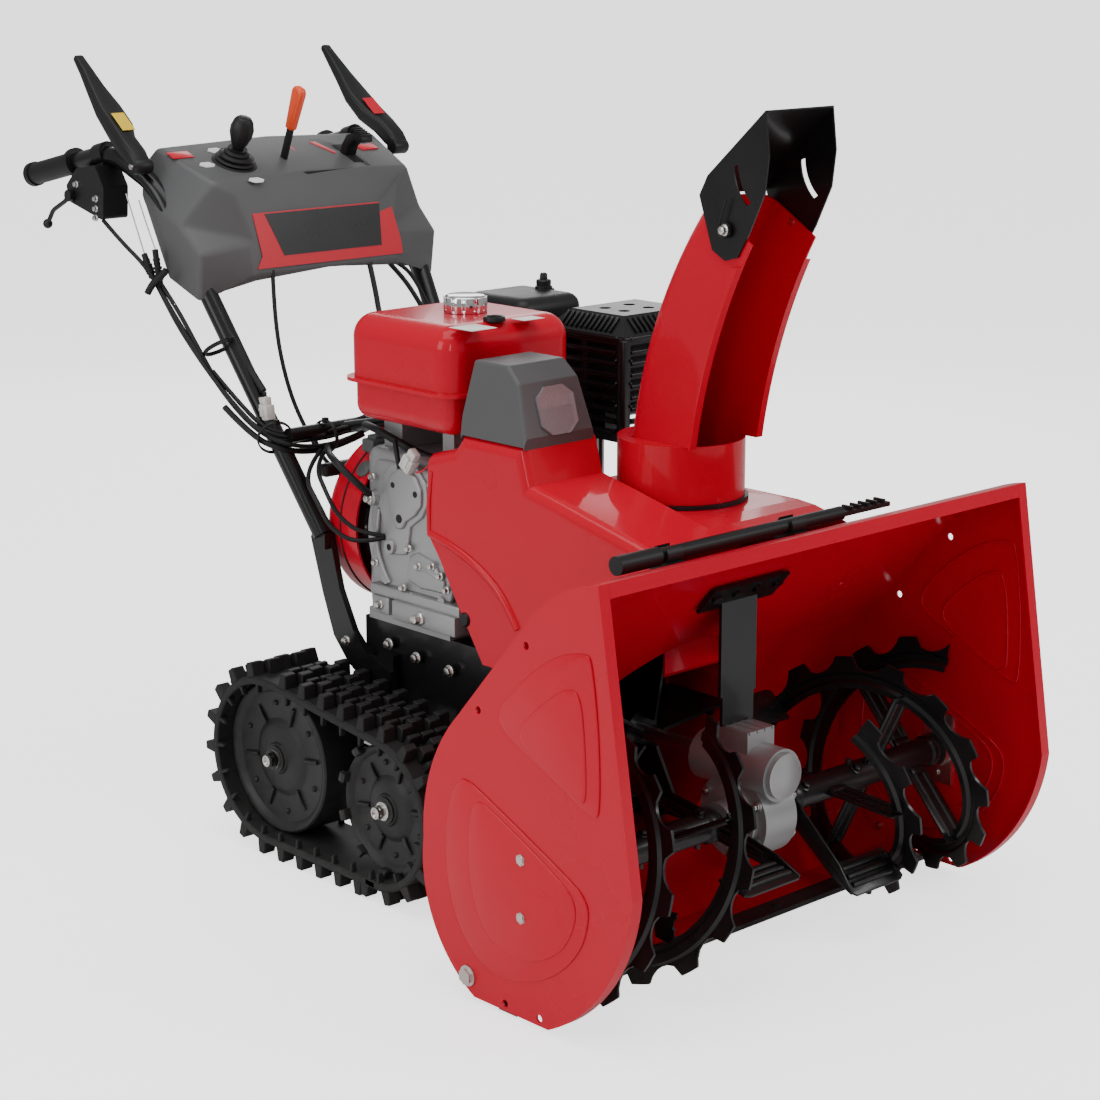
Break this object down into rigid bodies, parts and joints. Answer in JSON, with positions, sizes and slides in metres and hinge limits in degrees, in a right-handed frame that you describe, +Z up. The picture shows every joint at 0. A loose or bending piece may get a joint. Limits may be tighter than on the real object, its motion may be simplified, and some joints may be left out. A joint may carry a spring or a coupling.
{
  "type": "two stage snowblower",
  "caption": "Walk-behind two stage snow blower on rubber tracks, with toothed augers in a wide housing, a turning chute with a tilting deflector, an engine and a control console.",
  "frame": {"origin": "on the ground under the middle of the overall length and width", "axes": "+Z up, the augers face -Y, +X is the machine's own left side"},
  "size_m": [0.8304, 1.5002, 1.142],
  "materials": {
    "red_paint": "gloss red enamel",
    "black_paint": "gloss black enamel",
    "black_wheel": "satin black",
    "dark_steel": "dark phosphated steel",
    "zinc": "bright zinc plate",
    "steel": "machined steel",
    "brass": "bronze gear",
    "cast_aluminium": "die cast, satin",
    "black_plastic": "moulded, fine grain",
    "grey_plastic": "moulded dark grey, fine grain",
    "lens": "clear moulded lens",
    "chrome": "polished chrome",
    "track_rubber": "moulded track rubber",
    "soft_rubber": "soft rubber",
    "wire": "black dipped wire",
    "speed_lever": "orange grip on a dark blade"
  },
  "bodies": {
    "machine": {"air_cleaner": "black_plastic", "auger_gearcase": "cast_aluminium", "belt_cover": "red_paint", "chute_ring": "black_plastic", "console": "grey_plastic", "control_cables": "soft_rubber", "control_pods": "black_plastic", "drive_belt": "soft_rubber", "engine_block": "cast_aluminium", "fan_cover": "red_paint", "fuel_tank": "red_paint", "gearcase_bracket": "black_paint", "grips": "soft_rubber", "handle_frame": "black_paint", "headlight_lens": "lens", "headlight_pod": "grey_plastic", "housing_bolts": "zinc", "housing_sheet": "red_paint", "impeller_drum": "red_paint", "lever_pins": "zinc", "main_frame": "black_paint", "muffler": "dark_steel", "muffler_guard": "black_paint", "scraper_blade": "dark_steel", "shaft_bearings": "zinc", "side_plate_left": "red_paint", "side_plate_right": "red_paint", "tool_clips": "black_plastic", "transmission": "cast_aluminium"},
    "auger": {"auger_shaft": "dark_steel", "auger_left": "black_paint", "auger_right": "black_paint", "worm_wheel": "brass"},
    "impeller": {"impeller_shaft": "steel", "impeller": "black_paint", "impeller_pulley": "steel"},
    "crank": {"crankshaft": "steel"},
    "chute": {"chute": "red_paint", "deflector_bolts": "zinc"},
    "deflector": {"deflector": "black_paint"},
    "crawler": {"track_frame": "black_paint", "track_left": "track_rubber", "track_right": "track_rubber"},
    "sprocket_left": {"sprocket_left": "black_wheel"},
    "sprocket_right": {"sprocket_right": "black_wheel"},
    "idler_left": {"idler_left": "black_wheel"},
    "idler_right": {"idler_right": "black_wheel"},
    "skid_left": {"skid_shoe_left": "dark_steel"},
    "skid_right": {"skid_shoe_right": "dark_steel"},
    "cleanout_tool": {"cleanout_tool": "black_plastic"},
    "recoil_handle": {"recoil_handle": "black_plastic"},
    "fuel_cap": {"fuel_cap": "chrome"},
    "joystick_gimbal": {"joystick_gimbal": "black_plastic"},
    "joystick": {"joystick": "black_plastic"},
    "speed_lever": {"speed_lever": "speed_lever"},
    "throttle_lever": {"throttle_lever": "black_plastic"},
    "clutch_paddle_left": {"clutch_paddle_left": "black_paint"},
    "clutch_paddle_right": {"clutch_paddle_right": "black_paint"},
    "steering_trigger_left": {"steering_trigger_left": "wire"},
    "steering_trigger_right": {"steering_trigger_right": "wire"}
  },
  "joints": [
    {"name": "impeller_spin", "type": "hinge", "parent": "machine", "child": "impeller", "pos_m": [0, -0.56008, 0.245], "axis": [0, 1, 0], "continuous": true},
    {"name": "auger_spin", "type": "hinge", "parent": "machine", "child": "auger", "pos_m": [0, -0.56008, 0.18], "axis": [1, 0, 0], "continuous": true},
    {"name": "crank_spin", "type": "hinge", "parent": "machine", "child": "crank", "pos_m": [-0.02, -0.56008, 0.478], "axis": [0, 1, 0], "continuous": true},
    {"name": "chute_turn", "type": "hinge", "parent": "machine", "child": "chute", "pos_m": [0.07, -0.36008, 0], "axis": [0, 0, 1], "range_deg": [-100, 100]},
    {"name": "deflector_tilt", "type": "hinge", "parent": "chute", "child": "deflector", "pos_m": [0.07, -0.50008, 0.952], "axis": [1, 0, 0], "range_deg": [-5, 55]},
    {"name": "height_tilt", "type": "hinge", "parent": "machine", "child": "crawler", "pos_m": [0, -0.12008, 0.132], "axis": [1, 0, 0], "range_deg": [-4, 4]},
    {"name": "sprocket_spin_right", "type": "hinge", "parent": "machine", "child": "sprocket_right", "pos_m": [0, -0.12008, 0.132], "axis": [1, 0, 0], "continuous": true},
    {"name": "idler_spin_right", "type": "hinge", "parent": "crawler", "child": "idler_right", "pos_m": [0, 0.12992, 0.147], "axis": [1, 0, 0], "continuous": true},
    {"name": "skid_drop_right", "type": "slide", "parent": "machine", "child": "skid_right", "axis": [0, 0, 1], "range_m": [-0.02, 0]},
    {"name": "paddle_squeeze_right", "type": "hinge", "parent": "machine", "child": "clutch_paddle_right", "pos_m": [0, 0.44992, 0.985], "axis": [1, 0, 0], "range_deg": [-18, 0], "stiffness_Nm_per_rad": 3, "springref_deg": 17.19},
    {"name": "trigger_squeeze_right", "type": "hinge", "parent": "machine", "child": "steering_trigger_right", "pos_m": [0, 0.60392, 0.932], "axis": [1, 0, 0], "range_deg": [0, 14], "stiffness_Nm_per_rad": 1, "springref_deg": -17.19},
    {"name": "sprocket_spin_left", "type": "hinge", "parent": "machine", "child": "sprocket_left", "pos_m": [0, -0.12008, 0.132], "axis": [1, 0, 0], "continuous": true},
    {"name": "idler_spin_left", "type": "hinge", "parent": "crawler", "child": "idler_left", "pos_m": [0, 0.12992, 0.147], "axis": [1, 0, 0], "continuous": true},
    {"name": "skid_drop_left", "type": "slide", "parent": "machine", "child": "skid_left", "axis": [0, 0, 1], "range_m": [-0.02, 0]},
    {"name": "paddle_squeeze_left", "type": "hinge", "parent": "machine", "child": "clutch_paddle_left", "pos_m": [0, 0.44992, 0.985], "axis": [1, 0, 0], "range_deg": [-18, 0], "stiffness_Nm_per_rad": 3, "springref_deg": 17.19},
    {"name": "trigger_squeeze_left", "type": "hinge", "parent": "machine", "child": "steering_trigger_left", "pos_m": [0, 0.60392, 0.932], "axis": [1, 0, 0], "range_deg": [0, 14], "stiffness_Nm_per_rad": 1, "springref_deg": -17.19},
    {"name": "tool_lift", "type": "slide", "parent": "machine", "child": "cleanout_tool", "axis": [0, 0, 1], "range_m": [0, 0.15]},
    {"name": "recoil_pull", "type": "slide", "parent": "machine", "child": "recoil_handle", "axis": [0, 1, 0], "range_m": [0, 0.4], "stiffness_N_per_m": 20, "springref_m": -0.05},
    {"name": "fuel_cap_turn", "type": "hinge", "parent": "machine", "child": "fuel_cap", "pos_m": [-0.046, -0.04658, 0], "axis": [0, 0, 1], "range_deg": [0, 120]},
    {"name": "joystick_side", "type": "hinge", "parent": "machine", "child": "joystick_gimbal", "pos_m": [-0.11, 0.40646, 0.98031], "axis": [0, 0.9232, 0.3843], "range_deg": [-8, 8], "stiffness_Nm_per_rad": 2},
    {"name": "joystick_fore", "type": "hinge", "parent": "joystick_gimbal", "child": "joystick", "pos_m": [-0.11, 0.40646, 0.98031], "axis": [1, 0, 0], "range_deg": [-8, 8], "stiffness_Nm_per_rad": 2},
    {"name": "speed_lever_swing", "type": "hinge", "parent": "machine", "child": "speed_lever", "pos_m": [-0.018, 0.42183, 0.94338], "axis": [1, 0, 0], "range_deg": [-20, 20]},
    {"name": "throttle_swing", "type": "hinge", "parent": "machine", "child": "throttle_lever", "pos_m": [0.107, 0.41952, 0.94892], "axis": [1, 0, 0], "range_deg": [-14, 14]}
  ],
  "couplings": [
    {"joint": "impeller_spin", "follows": "auger_spin", "ratio": 20},
    {"joint": "sprocket_spin_right", "follows": "idler_spin_right", "ratio": 1.15},
    {"joint": "sprocket_spin_left", "follows": "idler_spin_left", "ratio": 1.15}
  ]
}
